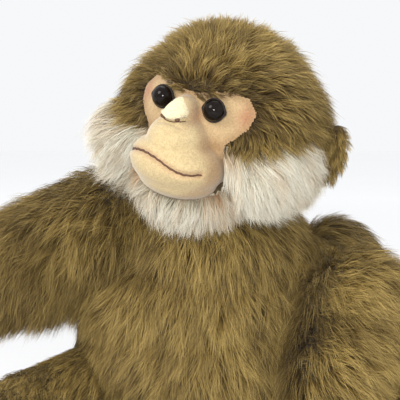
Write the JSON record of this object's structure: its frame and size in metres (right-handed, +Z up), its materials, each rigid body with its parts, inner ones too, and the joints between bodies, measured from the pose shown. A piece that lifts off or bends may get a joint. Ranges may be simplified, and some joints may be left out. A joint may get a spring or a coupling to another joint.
{
  "type": "stuffed monkey",
  "caption": "Seated stuffed monkey with brown long-pile fur, pale beard and felt face; head turns, arms, legs and tail bend and hold their pose.",
  "frame": {"origin": "middle of the flat underside of the seat, where the torso rests on a surface", "axes": "+Z up, the chest faces -Y, the toy's own left side is +X"},
  "size_m": [0.4031, 0.2809, 0.2857],
  "materials": {
    "brown_fur": "long pile, brushed",
    "pale_fur": "long pile, brushed",
    "face_plush": "short clipped pile",
    "palm_plush": "short clipped pile",
    "stuffing": "matt polyester fibre",
    "pellet_bag": "plain woven",
    "label": "satin woven, blank",
    "steel": "zinc plated",
    "plastic": "moulded",
    "eye": "high gloss",
    "eyelid": "soft, matt",
    "thread": "twisted cotton"
  },
  "bodies": {
    "torso": {"torso_skin": "brown_fur", "torso_stuffing": "stuffing", "seat_pellet_bag": "pellet_bag", "care_label": "label"},
    "head": {"head_skin": "brown_fur", "head_stuffing": "stuffing", "beard_ruff": "pale_fur", "face_panel": "face_plush", "muzzle_skin": "face_plush", "chin_skin": "face_plush", "muzzle_stuffing": "stuffing", "nose_patch": "face_plush", "mouth_thread": "thread", "eye_left": "eye", "eye_right": "eye", "eye_washer_left": "plastic", "eye_washer_right": "plastic", "eyelid_left": "eyelid", "eyelid_right": "eyelid", "ear_left": "brown_fur", "ear_right": "brown_fur", "neck_stud": "plastic", "neck_lock_washer": "steel"},
    "shoulder_left": {"shoulder_stud_left": "plastic", "shoulder_lock_washer_left": "steel"},
    "upper_arm_left": {"upper_arm_skin_left": "brown_fur", "upper_arm_stuffing_left": "stuffing", "upper_arm_wire_left": "steel"},
    "forearm_left": {"forearm_skin_left": "brown_fur", "forearm_stuffing_left": "stuffing", "forearm_wire_left": "steel", "hand_left": "palm_plush"},
    "thigh_left": {"thigh_skin_left": "brown_fur", "thigh_stuffing_left": "stuffing", "hip_stud_left": "plastic", "hip_lock_washer_left": "steel"},
    "shin_left": {"shin_skin_left": "brown_fur", "shin_stuffing_left": "stuffing", "foot_left": "palm_plush"},
    "shoulder_right": {"shoulder_stud_right": "plastic", "shoulder_lock_washer_right": "steel"},
    "upper_arm_right": {"upper_arm_skin_right": "brown_fur", "upper_arm_stuffing_right": "stuffing", "upper_arm_wire_right": "steel"},
    "forearm_right": {"forearm_skin_right": "brown_fur", "forearm_stuffing_right": "stuffing", "forearm_wire_right": "steel", "hand_right": "palm_plush"},
    "thigh_right": {"thigh_skin_right": "brown_fur", "thigh_stuffing_right": "stuffing", "hip_stud_right": "plastic", "hip_lock_washer_right": "steel"},
    "shin_right": {"shin_skin_right": "brown_fur", "shin_stuffing_right": "stuffing", "foot_right": "palm_plush"},
    "tail": {"tail_skin": "brown_fur", "tail_stuffing": "stuffing"}
  },
  "joints": [
    {"name": "neck_turn", "type": "hinge", "parent": "torso", "child": "head", "pos_m": [0, -0.00595, 0.1726], "axis": [0, -0.2588, 0.9659], "range_deg": [-50, 78]},
    {"name": "shoulder_swing_left", "type": "hinge", "parent": "torso", "child": "shoulder_left", "pos_m": [0.082, 0.002, 0.136], "axis": [-1, 0, 0], "range_deg": [-3, 40]},
    {"name": "shoulder_lift_left", "type": "hinge", "parent": "shoulder_left", "child": "upper_arm_left", "pos_m": [0.082, 0.002, 0.136], "axis": [0, -1, 0], "range_deg": [0, 20]},
    {"name": "elbow_left", "type": "hinge", "parent": "upper_arm_left", "child": "forearm_left", "pos_m": [0.09127, -0.04435, 0.10239], "axis": [0.3842, 0.5911, -0.7093], "range_deg": [-20, 10]},
    {"name": "hip_swing_left", "type": "hinge", "parent": "torso", "child": "thigh_left", "pos_m": [0.082, -0.004, 0.04], "axis": [-1, 0, 0], "range_deg": [0, 18]},
    {"name": "knee_left", "type": "hinge", "parent": "thigh_left", "child": "shin_left", "pos_m": [0.12967, -0.05167, 0.03115], "axis": [-0.7071, -0.7071, 0], "range_deg": [0, 25]},
    {"name": "shoulder_swing_right", "type": "hinge", "parent": "torso", "child": "shoulder_right", "pos_m": [-0.082, 0.002, 0.144], "axis": [-1, 0, 0], "range_deg": [-40, 40]},
    {"name": "shoulder_lift_right", "type": "hinge", "parent": "shoulder_right", "child": "upper_arm_right", "pos_m": [-0.082, 0.002, 0.144], "axis": [0, 1, 0], "range_deg": [-25, 30]},
    {"name": "elbow_right", "type": "hinge", "parent": "upper_arm_right", "child": "forearm_right", "pos_m": [-0.13414, -0.01538, 0.12546], "axis": [-0.4355, 0.5323, 0.7259], "range_deg": [-5, 35]},
    {"name": "hip_swing_right", "type": "hinge", "parent": "torso", "child": "thigh_right", "pos_m": [-0.082, -0.004, 0.04], "axis": [-1, 0, 0], "range_deg": [0, 45]},
    {"name": "knee_right", "type": "hinge", "parent": "thigh_right", "child": "shin_right", "pos_m": [-0.12967, -0.05167, 0.03115], "axis": [-0.7071, 0.7071, 0], "range_deg": [0, 25]},
    {"name": "tail_swing", "type": "hinge", "parent": "torso", "child": "tail", "pos_m": [0, 0.058, 0.022], "axis": [0, 0, 1], "range_deg": [0, 38]}
  ]
}
